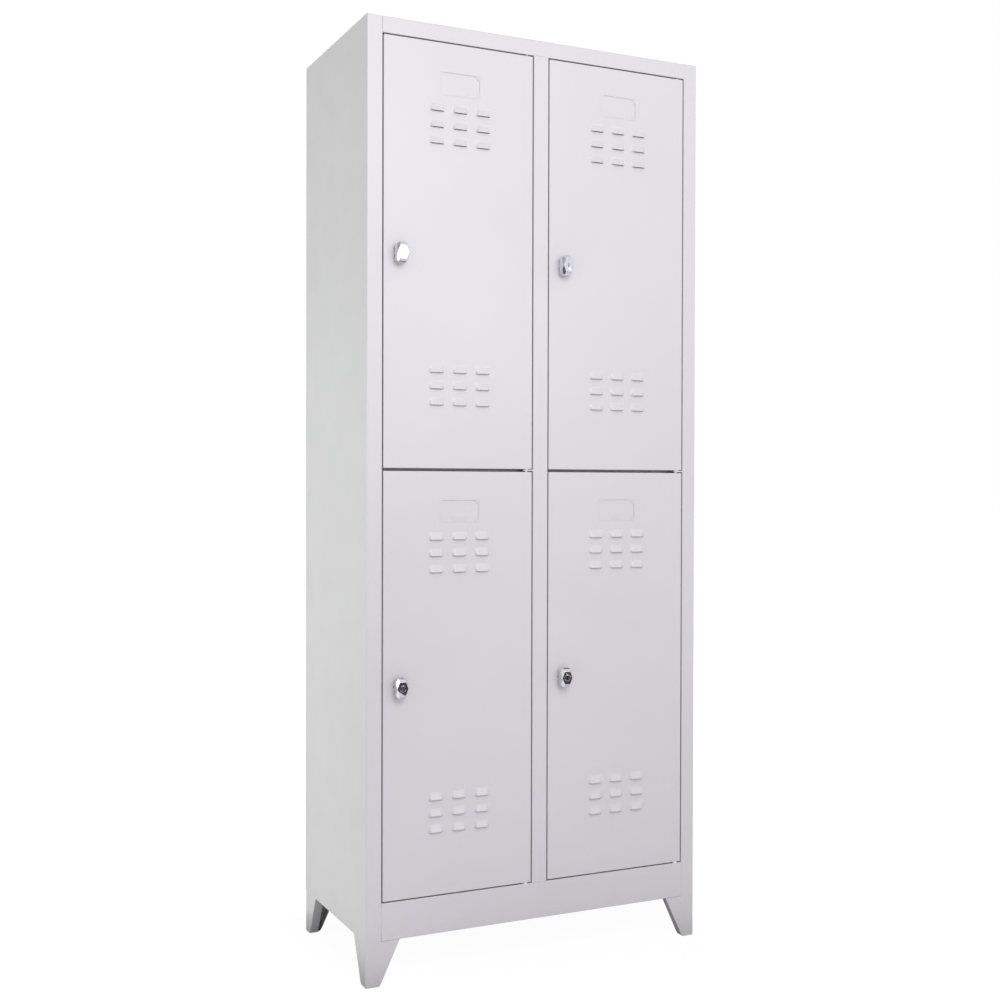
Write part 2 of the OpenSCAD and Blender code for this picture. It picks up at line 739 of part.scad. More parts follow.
// two opposite bevels between the flank and the face of a knob
module face_pair(angle) {
    reach = knob_w / 2 + (knob_h - knob_w) / 2 * cos(angle) + 0.3;
    rotate([0, 0, angle]) bevelled_slab(knob_h / 2, knob_h / 2,
        [[reach, rim_front], [face_w / 2 * sin(face_turn), knob_out]]);
}

module lock_knob_lower_left() { lock_knob(0, 0); }
module lock_knob_lower_right() { lock_knob(1, 0); }
module lock_knob_upper_left() { lock_knob(0, 1); }
module lock_knob_upper_right() { lock_knob(1, 1); }

module key_plug(side, tier) {
    color(chrome) at_lock(side, tier) difference() {
        rotate_extrude() polygon([[0, plug_back + seam], [plug_r, plug_back + seam],
            [plug_r, knob_out - 0.1], [plug_r - 0.5, knob_out], [0, knob_out]]);
        translate([-key_slot[0] / 2, -key_slot[1] / 2, knob_out - 7])
            cube([key_slot[0], key_slot[1], 10]);
    }
}

module key_plug_lower_left() { key_plug(0, 0); }
module key_plug_lower_right() { key_plug(1, 0); }
module key_plug_upper_left() { key_plug(0, 1); }
module key_plug_upper_right() { key_plug(1, 1); }

// cam plate, pointing up while the lock is open
module lock_cam(side, tier) {
    color(zinc) at_lock(side, tier) translate([0, 0, -cam_y - cam_t]) difference() {
        linear_extrude(cam_t) union() {
            circle(r = cam_w / 2);
            polygon([[-cam_w / 2, 0], [cam_w / 2, 0], [cam_w / 2, cam_len - 3],
                [cam_w / 2 - 3, cam_len], [3 - cam_w / 2, cam_len], [-cam_w / 2, cam_len - 3]]);
        }
        translate([-tail / 2 - run, -tail / 2 - run, -1])
            cube([tail + 2 * run, tail + 2 * run, cam_t + 2]);
    }
}

module lock_cam_lower_left() { lock_cam(0, 0); }
module lock_cam_lower_right() { lock_cam(1, 0); }
module lock_cam_upper_left() { lock_cam(0, 1); }
module lock_cam_upper_right() { lock_cam(1, 1); }

module cam_screw(side, tier) {
    color(zinc) at_lock(side, tier) translate([0, 0, -cam_y - cam_t]) difference() {
        union() {
            translate([0, 0, -3 - seam / 2]) rotate_extrude() polygon([[0, 0], [4.6, 0],
                [6.2, 1.2], [6.6, 3], [0, 3]]);
            translate([0, 0, -1]) cylinder(r = 2, h = 3);
        }
        translate([-0.6, -4, -4]) cube([1.2, 8, 2.2]);
    }
}

module cam_screw_lower_left() { cam_screw(0, 0); }
module cam_screw_lower_right() { cam_screw(1, 0); }
module cam_screw_upper_left() { cam_screw(0, 1); }
module cam_screw_upper_right() { cam_screw(1, 1); }

side_panel_left();
side_panel_right();
strike_strip();
top_panel();
bottom_rail();
floor_panel();
back_panel();
centre_post();
centre_partition();
shelf_left();
shelf_right();
foot_front_left();
foot_front_right();
foot_rear_left();
foot_rear_right();
foot_bolts();
top_hinge_pins();
hinge_brackets();
middle_hinge_pins();
bottom_hinge_pins();
hinge_washers();
hanger_rod_lower_left();
hanger_rod_lower_right();
hanger_rod_upper_left();
hanger_rod_upper_right();
rod_sockets();
back_rivets();
door_buffers();
door_lower_left();
door_lower_right();
door_upper_left();
door_upper_right();
stiffener_lower_left();
stiffener_lower_right();
stiffener_upper_left();
stiffener_upper_right();
lock_housing_lower_left();
lock_housing_lower_right();
lock_housing_upper_left();
lock_housing_upper_right();
lock_nut_lower_left();
lock_nut_lower_right();
lock_nut_upper_left();
lock_nut_upper_right();
lock_knob_lower_left();
lock_knob_lower_right();
lock_knob_upper_left();
lock_knob_upper_right();
key_plug_lower_left();
key_plug_lower_right();
key_plug_upper_left();
key_plug_upper_right();
lock_cam_lower_left();
lock_cam_lower_right();
lock_cam_upper_left();
lock_cam_upper_right();
cam_screw_lower_left();
cam_screw_lower_right();
cam_screw_upper_left();
cam_screw_upper_right();
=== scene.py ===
import json
import math

import bmesh
import bpy
from mathutils import Matrix, Vector


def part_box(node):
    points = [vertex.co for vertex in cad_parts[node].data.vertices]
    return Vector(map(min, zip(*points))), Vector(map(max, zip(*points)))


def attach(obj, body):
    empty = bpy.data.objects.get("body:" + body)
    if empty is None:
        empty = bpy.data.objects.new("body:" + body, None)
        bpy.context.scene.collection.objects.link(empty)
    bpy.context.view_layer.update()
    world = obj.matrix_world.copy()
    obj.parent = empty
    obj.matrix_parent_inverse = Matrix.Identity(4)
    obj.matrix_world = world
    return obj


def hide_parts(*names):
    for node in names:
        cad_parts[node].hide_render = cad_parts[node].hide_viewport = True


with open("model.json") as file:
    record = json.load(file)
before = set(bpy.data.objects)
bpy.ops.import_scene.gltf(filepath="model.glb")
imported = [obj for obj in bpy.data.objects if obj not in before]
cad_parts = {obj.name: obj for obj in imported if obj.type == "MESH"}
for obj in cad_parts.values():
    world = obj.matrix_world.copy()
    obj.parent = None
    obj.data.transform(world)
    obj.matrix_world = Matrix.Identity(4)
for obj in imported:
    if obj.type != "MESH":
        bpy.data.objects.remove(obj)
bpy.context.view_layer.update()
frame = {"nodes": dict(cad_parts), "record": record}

# Sheet-steel locker cabinet with four louvred doors. Sizes are in metres, in the frame's own axes:
# the doors face -Y, +X is to the right of a person facing them, and the floor is Z = 0.

NODES = frame["nodes"]
DOORS = ["lower_left", "lower_right", "upper_left", "upper_right"]

SHEET = 0.0008                 # body and door sheet
DOOR_LIP = 0.010               # hem turned in behind a door
DOOR_FOLD = 0.0016             # radius of a door's front edges
PIN_FROM_EDGE = 0.011          # hinge edge of a door to the pin axis

LOUVRE = {"Width": 0.033, "Height": 0.015, "Depth": 0.005, "Sheet": SHEET,
          "Columns": 3, "Rows": 3, "Pitch Across": 0.049, "Pitch Up": 0.0316}
LOUVRES_FROM_TOP = 0.133       # top of a door to its highest slot
LOUVRES_FROM_FOOT = 0.123      # foot of a door to its lowest slot

LABEL_W, LABEL_H = 0.085, 0.045
LABEL_FROM_TOP = 0.056
LABEL_DEEP = 0.0016
TAB_FRONT, TAB_BACK = 0.0007, 0.0012
NOTCH_TOP, NOTCH_FOOT = 0.045, 0.024
NOTCH_H, NOTCH_DEEP = 0.012, 0.0008
TAB_LEG = 0.011
PRESS = 0.0007                 # run of a pressed wall
NOTCH_LIFT = 0.001             # foot of the label field to the foot of its notch
TAB_TUCK = 0.0004              # how far a tab reaches under the edge of the field
SLOT_TRIM = 0.0012             # how much smaller a louvre's slot is than its hood
LOCK_HOLE = 0.0096             # radius of the lock hole in a door
PIN_HOLE = 0.00305
PIN_DEPTH = 0.0065             # pin axis behind a door's face
KNOB_EDGE = 0.0005             # rounding of a knob's edges
RIVET_RADIUS, RIVET_RISE = 0.0032, 0.0009
RIVET_SHANK = 0.0016
RIVETS_DOWN = 7                # rivets down each side of the back
RIVET_END = 0.040              # end of the back panel to the first rivet
NEAR = 1e-6                    # two places closer than this are the same


# ---------- small helpers ----------

def new_object(name, mesh):
    piece = bpy.data.objects.new(name, mesh)
    bpy.context.scene.collection.objects.link(piece)
    return piece


def mesh_of(bm, name):
    """Turns an edit mesh into a mesh with its faces outwards."""
    bmesh.ops.recalc_face_normals(bm, faces=bm.faces)
    mesh = bpy.data.meshes.new(name)
    bm.to_mesh(mesh)
    bm.free()
    return mesh


def settle(piece):
    """Bakes a piece's modifiers into a plain mesh."""
    graph = bpy.context.evaluated_depsgraph_get()
    graph.update()
    plain = bpy.data.meshes.new_from_object(piece.evaluated_get(graph), depsgraph=graph)
    piece.modifiers.clear()
    piece.data = plain
    return piece


def smooth(mesh, degrees):
    """Smooth faces, sharp over edges steeper than the angle."""
    for face in mesh.polygons:
        face.use_smooth = True
    mesh.set_sharp_from_angle(angle=math.radians(degrees))


def dress(piece, material):
    piece.data.materials.clear()
    piece.data.materials.append(material)


# ---------- materials ----------

class Finish:
    """A material and the few node calls that build it."""

    def __init__(self, name):
        self.material = bpy.data.materials.new(name)
        self.material.use_nodes = True
        self.tree = self.material.node_tree
        self.shader = self.tree.nodes["Principled BSDF"]
        self.place = self.add("ShaderNodeTexCoord").outputs["Object"]

    def add(self, kind, **settings):
        node = self.tree.nodes.new(kind)
        for key, value in settings.items():
            setattr(node, key, value)
        return node

    def feed(self, socket, value):
        if isinstance(value, bpy.types.NodeSocket):
            self.tree.links.new(value, socket)
        else:
            socket.default_value = value

    def noise(self, scale, detail=2.0, roughness=0.5, stretch=None):
        node = self.add("ShaderNodeTexNoise")
        place = self.place
        if stretch:
            mapping = self.add("ShaderNodeMapping")
            self.feed(mapping.inputs["Vector"], self.place)
            mapping.inputs["Scale"].default_value = stretch
            place = mapping.outputs["Vector"]
        self.feed(node.inputs["Vector"], place)
        node.inputs["Scale"].default_value = scale
        node.inputs["Detail"].default_value = detail
        node.inputs["Roughness"].default_value = roughness
        return node.outputs["Fac"]

    def span(self, value, low, high, to_low, to_high):
        node = self.add("ShaderNodeMapRange")
        for name, number in zip(("Value", "From Min", "From Max", "To Min", "To Max"),
                                (value, low, high, to_low, to_high)):
            self.feed(node.inputs[name], number)
        return node.outputs["Result"]

    def maths(self, operation, a, b=0.0):
        node = self.add("ShaderNodeMath", operation=operation)
        self.feed(node.inputs[0], a)
        self.feed(node.inputs[1], b)
        return node.outputs["Value"]

    def blend(self, factor, a, b):
        node = self.add("ShaderNodeMix", data_type="RGBA")
        colours = [s for s in node.inputs if s.type == "RGBA"]
        self.feed(node.inputs["Factor"], factor)
        for socket, colour in zip(colours, (a, b)):
            self.feed(socket, (*colour, 1.0) if isinstance(colour, tuple) else colour)
        return next(s for s in node.outputs if s.type == "RGBA")

    def bump(self, height, distance, strength=1.0, below=None):
        node = self.add("ShaderNodeBump")
        node.inputs["Strength"].default_value = strength
        node.inputs["Distance"].default_value = distance
        self.feed(node.inputs["Height"], height)
        if below:
            self.feed(node.inputs["Normal"], below)
        return node.outputs["Normal"]

    def edges(self, radius):
        """1 on sharp edges and 0 on flats."""
        rounded = self.add("ShaderNodeBevel", samples=4)
        rounded.inputs["Radius"].default_value = radius
        true = self.add("ShaderNodeNewGeometry").outputs["Normal"]
        dot = self.add("ShaderNodeVectorMath", operation="DOT_PRODUCT")
        self.feed(dot.inputs[0], rounded.outputs["Normal"])
        self.feed(dot.inputs[1], true)
        return self.span(dot.outputs["Value"], 0.995, 0.80, 0.0, 1.0)

    def finish(self, colour, roughness, normal=None, **sockets):
        self.feed(self.shader.inputs["Base Color"], colour)
        self.feed(self.shader.inputs["Roughness"], roughness)
        if normal:
            self.feed(self.shader.inputs["Normal"], normal)
        for name, value in sockets.items():
            self.shader.inputs[name.replace("_", " ")].default_value = value
        return self.material


def powder_coat(name, light, dark, worn):
    """Satin powder coat: orange peel, faint waves in the sheet, cloudy tone, thin on the edges."""
    f = Finish(name)
    cloud = f.span(f.noise(2.3, 3.0), 0.35, 0.65, 0.0, 1.0)
    speck = f.span(f.noise(1500.0, 1.0), 0.30, 0.70, 0.0, 1.0)
    tone = f.blend(f.maths("MULTIPLY", cloud, 0.75), light, dark)
    tone = f.blend(f.maths("MULTIPLY", speck, 0.10), tone, dark)
    patchy = f.span(f.noise(45.0, 3.0), 0.42, 0.62, 0.15, 0.85)
    rubbed = f.maths("MULTIPLY", f.edges(0.0009), patchy)
    tone = f.blend(rubbed, tone, worn)
    gloss = f.span(f.noise(14.0, 4.0), 0.3, 0.7, 0.34, 0.44)
    gloss = f.maths("ADD", gloss, f.maths("MULTIPLY", rubbed, 0.12))
    wave = f.bump(f.noise(7.0, 1.0), 0.0012, 0.35)
    peel = f.bump(f.noise(620.0, 2.0, 0.45), 0.00006, 0.5, wave)
    return f.finish(tone, gloss, peel, Coat_Weight=0.08, Coat_Roughness=0.18)


def plated(name, light, dark, rough, spangle, scratch):
    """Plated metal: soft spangle, fine scratches and a little dulling."""
    f = Finish(name)
    cells = f.add("ShaderNodeTexVoronoi")
    f.feed(cells.inputs["Vector"], f.place)
    cells.inputs["Scale"].default_value = spangle
    grain = f.noise(240.0, 4.0, 0.6)
    tone = f.blend(f.span(cells.outputs["Distance"], 0.0, 0.8, 0.0, 0.5), light, dark)
    tone = f.blend(f.span(grain, 0.45, 0.75, 0.0, 0.35), tone, dark)
    gloss = f.span(grain, 0.3, 0.7, *rough)
    lines = f.noise(350.0, 3.0, 0.6, (1.0, 1.0, 9.0))
    return f.finish(tone, gloss, f.bump(lines, 0.00002, scratch), Metallic=1.0)


def moulded(name, light, dark, rough):
    """Matt moulded rubber or nylon."""
    f = Finish(name)
    tone = f.blend(f.span(f.noise(160.0, 4.0), 0.35, 0.65, 0.0, 1.0), light, dark)
    gloss = f.span(f.noise(420.0, 2.0), 0.3, 0.7, *rough)
    return f.finish(tone, gloss, f.bump(f.noise(1900.0, 2.0), 0.00004, 0.5))


BODY_COAT = powder_coat("body_powder_coat", (0.494, 0.495, 0.489), (0.470, 0.471, 0.465),
                        (0.57, 0.57, 0.57))
DOOR_COAT = powder_coat("door_powder_coat", (0.497, 0.496, 0.491), (0.473, 0.472, 0.468),
                        (0.58, 0.58, 0.58))
CHROME = plated("chrome_plating", (0.74, 0.75, 0.78), (0.55, 0.56, 0.60), (0.04, 0.11),
                300.0, 0.15)
ZINC = plated("zinc_plating", (0.70, 0.70, 0.68), (0.46, 0.47, 0.47), (0.26, 0.42), 420.0, 0.5)
RUBBER = moulded("buffer_rubber", (0.030, 0.030, 0.031), (0.018, 0.018, 0.019), (0.62, 0.78))
NYLON = moulded("washer_nylon", (0.78, 0.78, 0.75), (0.70, 0.70, 0.66), (0.42, 0.55))
FINISHES = {"body_coat": BODY_COAT, "door_coat": DOOR_COAT, "chrome_plate": CHROME,
            "zinc_plate": ZINC, "black_rubber": RUBBER, "white_nylon": NYLON}
SLOT_OF = {part["node"]: part["material_slot"] for part in frame["record"]["subparts"]}


# ---------- geometry node trees ----------

class Tree:
    """A geometry node tree with named inputs."""

    def __init__(self, name, **inputs):
        self.group = bpy.data.node_groups.new(name, "GeometryNodeTree")
        face = self.group.interface
        face.new_socket("Geometry", in_out="OUTPUT", socket_type="NodeSocketGeometry")
        face.new_socket("Geometry", in_out="INPUT", socket_type="NodeSocketGeometry")
        for key, kind in inputs.items():
            face.new_socket(key.replace("_", " "), in_out="INPUT", socket_type="NodeSocket" + kind)
        self.given = self.group.nodes.new("NodeGroupInput").outputs

    def add(self, kind, links=None, **settings):
        node = self.group.nodes.new(kind)
        for key, value in settings.items():
            setattr(node, key, value)
        for key, value in (links or {}).items():
            self.feed(node.inputs[key], value)
        return node

    def feed(self, socket, value):
        if isinstance(value, bpy.types.NodeSocket):
            self.group.links.new(value, socket)
        else:
            socket.default_value = value

    def sum(self, operation, *values):
        return self.add("ShaderNodeMath", dict(enumerate(values)), operation=operation).outputs[0]

    def ease(self, value, low, high, to_low, to_high):
        return self.add("ShaderNodeMapRange", {"Value": value, "From Min": low, "From Max": high,
                                               "To Min": to_low, "To Max": to_high},
                        interpolation_type="SMOOTHSTEP").outputs["Result"]

    def vector(self, x=0.0, y=0.0, z=0.0):
        return self.add("ShaderNodeCombineXYZ", {"X": x, "Y": y, "Z": z}).outputs[0]

    def join(self, *parts):
        node = self.add("GeometryNodeJoinGeometry")
        for part in parts:
            self.feed(node.inputs[0], part)
        return node.outputs[0]

    def close(self, geometry):
        self.feed(self.group.nodes.new("NodeGroupOutput").inputs[0], geometry)
        return self.group


def louvre_tree():
    """Adds a block of pressed louvres to a panel: each is one arched hood, open along its foot."""
    t = Tree("pressed_louvres", Width="Float", Height="Float", Depth="Float", Sheet="Float",
             Columns="Int", Rows="Int", Pitch_Across="Float", Pitch_Up="Float",
             Centre="Vector", Finish="Material")
    g = t.given
    blank = t.add("GeometryNodeMeshGrid", {"Size X": 1.0, "Size Y": 1.0, "Vertices X": 21,
                                           "Vertices Y": 12}).outputs["Mesh"]
    at = t.add("ShaderNodeSeparateXYZ", {0: t.add("GeometryNodeInputPosition").outputs[0]}).outputs
    across = t.sum("ABSOLUTE", at["X"])
    up = t.sum("ADD", at["Y"], 0.5)
    ends = t.ease(across, 0.30, 0.5, 1.0, 0.0)
    slope = t.sum("POWER", t.sum("SUBTRACT", 1.0, up), 1.15)
    crest = t.ease(up, 0.0, 0.10, 0.93, 1.0)
    rise = t.sum("MULTIPLY", t.sum("MULTIPLY", ends, slope), crest)
    drop = t.sum("SUBTRACT", t.sum("MULTIPLY", g["Sheet"], 0.35),
                 t.sum("MULTIPLY", t.sum("MULTIPLY", rise, 1.07), g["Depth"]))
    hood = t.add("GeometryNodeSetPosition", {"Geometry": blank, "Position": t.vector(
        t.sum("MULTIPLY", at["X"], g["Width"]), drop,
        t.sum("MULTIPLY", up, g["Height"]))}).outputs[0]
    thick = t.add("GeometryNodeExtrudeMesh", {
        "Mesh": hood, "Offset": t.vector(0.0, 1.0, 0.0), "Offset Scale": g["Sheet"],
        "Individual": False}, mode="FACES").outputs["Mesh"]
    back = t.add("GeometryNodeFlipFaces", {"Mesh": hood}).outputs[0]
    shell = t.add("GeometryNodeMergeByDistance", {"Geometry": t.join(thick, back),
                                                  "Distance": 0.00001}).outputs[0]
    points = t.add("GeometryNodeMeshGrid", {
        "Size X": t.sum("MULTIPLY", t.sum("SUBTRACT", g["Columns"], 1.0), g["Pitch Across"]),
        "Size Y": t.sum("MULTIPLY", t.sum("SUBTRACT", g["Rows"], 1.0), g["Pitch Up"]),
        "Vertices X": g["Columns"], "Vertices Y": g["Rows"]}).outputs["Mesh"]
    points = t.add("GeometryNodeTransform", {"Geometry": points, "Translation": g["Centre"],
                                             "Rotation": (math.pi / 2, 0.0, 0.0)}).outputs[0]
    block = t.add("GeometryNodeInstanceOnPoints", {"Points": points, "Instance": shell}).outputs[0]
    block = t.add("GeometryNodeRealizeInstances", {"Geometry": block}).outputs[0]
    block = t.add("GeometryNodeSetShadeSmooth",
                  {"Geometry": block, "Shade Smooth": True}).outputs[0]
    block = t.add("GeometryNodeSetMaterial",
                  {"Geometry": block, "Material": g["Finish"]}).outputs[0]
    return t.close(t.join(g["Geometry"], block))


def rivet_tree():
    """A dome rivet on every vertex of the input, facing +Y."""
    t = Tree("dome_rivets", Radius="Float", Rise="Float", Finish="Material")
    g = t.given
    ball = t.add("GeometryNodeMeshUVSphere",
                 {"Segments": 20, "Rings": 10, "Radius": 1.0}).outputs[0]
    dome = t.add("GeometryNodeTransform", {"Geometry": ball, "Scale": t.vector(
        g["Radius"], g["Rise"], g["Radius"])}).outputs[0]
    shank = t.add("GeometryNodeMeshCylinder",
                  {"Vertices": 20, "Radius": RIVET_SHANK, "Depth": 0.004})
    shank = t.add("GeometryNodeTransform", {"Geometry": shank.outputs["Mesh"], "Translation":
                  (0.0, -0.0019, 0.0), "Rotation": (math.pi / 2, 0.0, 0.0)}).outputs[0]
    made = t.add("GeometryNodeInstanceOnPoints", {"Points": g["Geometry"],
                                                  "Instance": t.join(dome, shank)}).outputs[0]
    made = t.add("GeometryNodeRealizeInstances", {"Geometry": made}).outputs[0]
    made = t.add("GeometryNodeSetShadeSmooth", {"Geometry": made, "Shade Smooth": True}).outputs[0]
    return t.close(t.add("GeometryNodeSetMaterial", {"Geometry": made,
                                                     "Material": g["Finish"]}).outputs[0])


def grow(piece, tree, **values):
    """Adds the tree to a piece, with its inputs set."""
    modifier = piece.modifiers.new(tree.name, "NODES")
    modifier.node_group = tree
    named = {s.name: s.identifier for s in tree.interface.items_tree
             if s.item_type == "SOCKET" and s.in_out == "INPUT"}
    for key, value in values.items():
        modifier[named[key]] = value
    return modifier


# ---------- doors ----------

def door_face(width, height, depth, louvre_blocks):
    """One pressed door blank: face, folded sides and hem, with slots cut under the louvres."""
    label_x, label_z = (width - LABEL_W) / 2, height - LABEL_FROM_TOP - LABEL_H
    notch_z = label_z + NOTCH_LIFT
    slot_w = LOUVRE["Width"] / 2 - SLOT_TRIM
    slot_h = LOUVRE["Height"] - SLOT_TRIM
    columns = [width / 2 + (i - 1) * LOUVRE["Pitch Across"] for i in range(LOUVRE["Columns"])]
    slots = [z + i * LOUVRE["Pitch Up"] for z in louvre_blocks for i in range(LOUVRE["Rows"])]

    xs = [0.0, width, label_x, label_x + PRESS, width - label_x - PRESS, width - label_x]
    xs += [width / 2 + s * d for s in (-1, 1) for d in (NOTCH_TOP / 2, NOTCH_TOP / 2 - PRESS)]
    xs += [x + s * slot_w for x in columns for s in (-1, 1)]
    zs = [0.0, height, label_z, label_z + PRESS, label_z + LABEL_H - PRESS, label_z + LABEL_H]
    zs += [notch_z, notch_z + PRESS, notch_z + NOTCH_H - PRESS, notch_z + NOTCH_H]
    zs += [z + d for z in slots for d in (0.0, slot_h)]
    xs, zs = sorted(xs), sorted(zs)

    def sunk(x, z):
        """Depth of the label field; its finger notch deepens towards its foot."""
        if not (label_x + PRESS - NEAR < x < width - label_x - PRESS + NEAR
                and label_z + PRESS - NEAR < z < label_z + LABEL_H - PRESS + NEAR):
            return 0.0
        inner = NOTCH_TOP / 2 - PRESS + NEAR
        if abs(x - width / 2) < inner and notch_z + NEAR < z < notch_z + PRESS + NEAR:
            return LABEL_DEEP + NOTCH_DEEP
        return LABEL_DEEP

    def place(x, z):
        """Where a grid point goes: the notch narrows towards its foot."""
        y = sunk(x, z)
        off = x - width / 2
        if (notch_z - NEAR < z < notch_z + NOTCH_H + NEAR
                and abs(off) <= NOTCH_TOP / 2 + NEAR):
            share = (z - notch_z) / NOTCH_H
            off *= (NOTCH_FOOT + (NOTCH_TOP - NOTCH_FOOT) * share) / NOTCH_TOP
        return width / 2 + off, y, z

    bm = bmesh.new()
    weight = bm.edges.layers.float.new("bevel_weight_edge")
    grid = [[bm.verts.new(place(x, z)) for z in zs] for x in xs]
    for i in range(len(xs) - 1):
        for j in range(len(zs) - 1):
            x, z = (xs[i] + xs[i + 1]) / 2, (zs[j] + zs[j + 1]) / 2
            if any(abs(x - c) < slot_w for c in columns) and any(
                    0 < z - s < slot_h for s in slots):
                continue
            bm.faces.new((grid[i][j], grid[i + 1][j], grid[i + 1][j + 1], grid[i][j + 1]))
    loose = [v for v in bm.verts if not v.link_faces]
    bmesh.ops.delete(bm, geom=loose, context="VERTS")
    for edge in bm.edges:
        if len(edge.link_faces) == 2 and edge.calc_face_angle() > 0.5:
            edge[weight] = 0.16

    def on_rim(v):
        return min(v.co.x, width - v.co.x, v.co.z, height - v.co.z) < NEAR

    rim = [e for e in bm.edges if e.is_boundary and all(on_rim(v) for v in e.verts)]
    wall = bmesh.ops.extrude_edge_only(bm, edges=rim)["geom"]
    for v in (x for x in wall if isinstance(x, bmesh.types.BMVert)):
        v.co.y = depth
    back = [e for e in wall if isinstance(e, bmesh.types.BMEdge) and e.is_boundary
            and all(abs(v.co.y - depth) < NEAR for v in e.verts)]
    hem = bmesh.ops.extrude_edge_only(bm, edges=back)["geom"]
    for v in (x for x in hem if isinstance(x, bmesh.types.BMVert)):
        v.co.x = min(max(v.co.x, DOOR_LIP), width - DOOR_LIP)
        v.co.z = min(max(v.co.z, DOOR_LIP), height - DOOR_LIP)
    for edge in bm.edges:
        if len(edge.link_faces) == 2 and edge.calc_face_angle() > 0.5 and not edge[weight]:
            edge[weight] = 1.0
    return mesh_of(bm, "door_blank")


def label_tabs(bm, width, height):
    """Corner tabs that hold a card in the label field."""
    middle = Vector((width / 2, 0.0, height - LABEL_FROM_TOP - LABEL_H / 2))
    reach = (LABEL_W / 2 + TAB_TUCK, LABEL_H / 2 + TAB_TUCK)
    for sx in (-1, 1):
        for sz in (-1, 1):
            flat = [(reach[0], reach[1]), (reach[0] - TAB_LEG, reach[1]),
                    (reach[0], reach[1] - TAB_LEG)]
            front, back = ([bm.verts.new(middle + Vector((sx * x, y, sz * z))) for x, z in flat]
                           for y in (TAB_FRONT, TAB_BACK))
            bm.faces.new(front)
            bm.faces.new(back)
            for i in range(3):
                j = (i + 1) % 3
                bm.faces.new((front[i], front[j], back[j], back[i]))


def cut(piece, cutter):
    """Cuts the cutter out of the piece."""
    modifier = piece.modifiers.new("cut", "BOOLEAN")
    modifier.operation, modifier.solver, modifier.object = "DIFFERENCE", "EXACT", cutter
    settle(piece)
    bpy.data.objects.remove(cutter)


def rod_mesh(centre, radius, length, axis, sides=40):
    """A round bar along the axis."""
    bm = bmesh.new()
    turn = Vector((0, 0, 1)).rotation_difference(Vector(axis)).to_matrix().to_4x4()
    bmesh.ops.create_cone(bm, cap_ends=True, segments=sides, radius1=radius, radius2=radius,
                          depth=length, matrix=Matrix.Translation(centre) @ turn)
    return mesh_of(bm, "rod")


def make_door(key, louvres):
    """One door skin: blank, rounded folds, holes, label tabs and louvres."""
    low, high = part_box("door_" + key)
    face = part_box("centre_post")[0].y
    width, height, depth = high.x - low.x, high.z - low.z, high.y - face
    upper_block = height - LOUVRES_FROM_TOP - (LOUVRE["Rows"] - 1) * LOUVRE["Pitch Up"]
    blocks = [LOUVRES_FROM_FOOT, upper_block]
    door = new_object("door_skin_" + key, door_face(width, height, depth, blocks))
    fold = door.modifiers.new("folds", "BEVEL")
    fold.limit_method, fold.width, fold.segments = "WEIGHT", DOOR_FOLD, 4
    fold.use_clamp_overlap = False
    gauge = door.modifiers.new("gauge", "SOLIDIFY")
    gauge.thickness, gauge.offset, gauge.use_even_offset = SHEET, -1.0, True
    settle(door)

    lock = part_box("lock_housing_" + key)
    centre = (lock[0] + lock[1]) / 2
    hole = Vector((centre.x - low.x, 0.0, centre.z - low.z))
    cut(door, new_object("cutter", rod_mesh(hole, LOCK_HOLE, 0.006, (0, 1, 0))))
    pin = Vector((width - PIN_FROM_EDGE, PIN_DEPTH, height / 2))
    cut(door, new_object("cutter", rod_mesh(pin, PIN_HOLE, height + 0.02, (0, 0, 1))))

    bm = bmesh.new()
    bm.from_mesh(door.data)
    label_tabs(bm, width, height)
    bm.to_mesh(door.data)
    bm.free()
    smooth(door.data, 32)
    soften = door.modifiers.new("soften", "WEIGHTED_NORMAL")
    soften.keep_sharp = True
    for z in blocks:
        grow(door, louvres, **LOUVRE, Finish=DOOR_COAT, Centre=(
            width / 2, 0.0, z + (LOUVRE["Rows"] - 1) * LOUVRE["Pitch Up"] / 2))
    settle(door)
    door.data.transform(Matrix.Translation((low.x, face, low.z)))
    dress(door, DOOR_COAT)
    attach(door, key + "_door")
    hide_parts("door_" + key)
    return door


louvres = louvre_tree()
for key in DOORS:
    make_door(key, louvres)


# ---------- knobs, rivets and the rest ----------

def rounded_copy(node, name, radius, angle=24.0):
    """A copy of a CAD node with its edges rounded, as a real casting's are."""
    bm = bmesh.new()
    bm.from_mesh(NODES[node].data)
    bmesh.ops.remove_doubles(bm, verts=bm.verts, dist=0.00001)
    bmesh.ops.dissolve_limit(bm, angle_limit=math.radians(2), verts=bm.verts, edges=bm.edges)
    mesh = bpy.data.meshes.new(name)
    bm.to_mesh(mesh)
    bm.free()
    piece = new_object(name, mesh)
    smooth(piece.data, 30)
    bevel = piece.modifiers.new("edges", "BEVEL")
    bevel.limit_method, bevel.angle_limit = "ANGLE", math.radians(angle)
    bevel.width, bevel.segments, bevel.harden_normals = radius, 3, True
    return settle(piece)


for key in DOORS:
    knob = rounded_copy("lock_knob_" + key, "knob_casting_" + key, KNOB_EDGE)
    dress(knob, CHROME)
    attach(knob, key + "_knob")
    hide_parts("lock_knob_" + key)


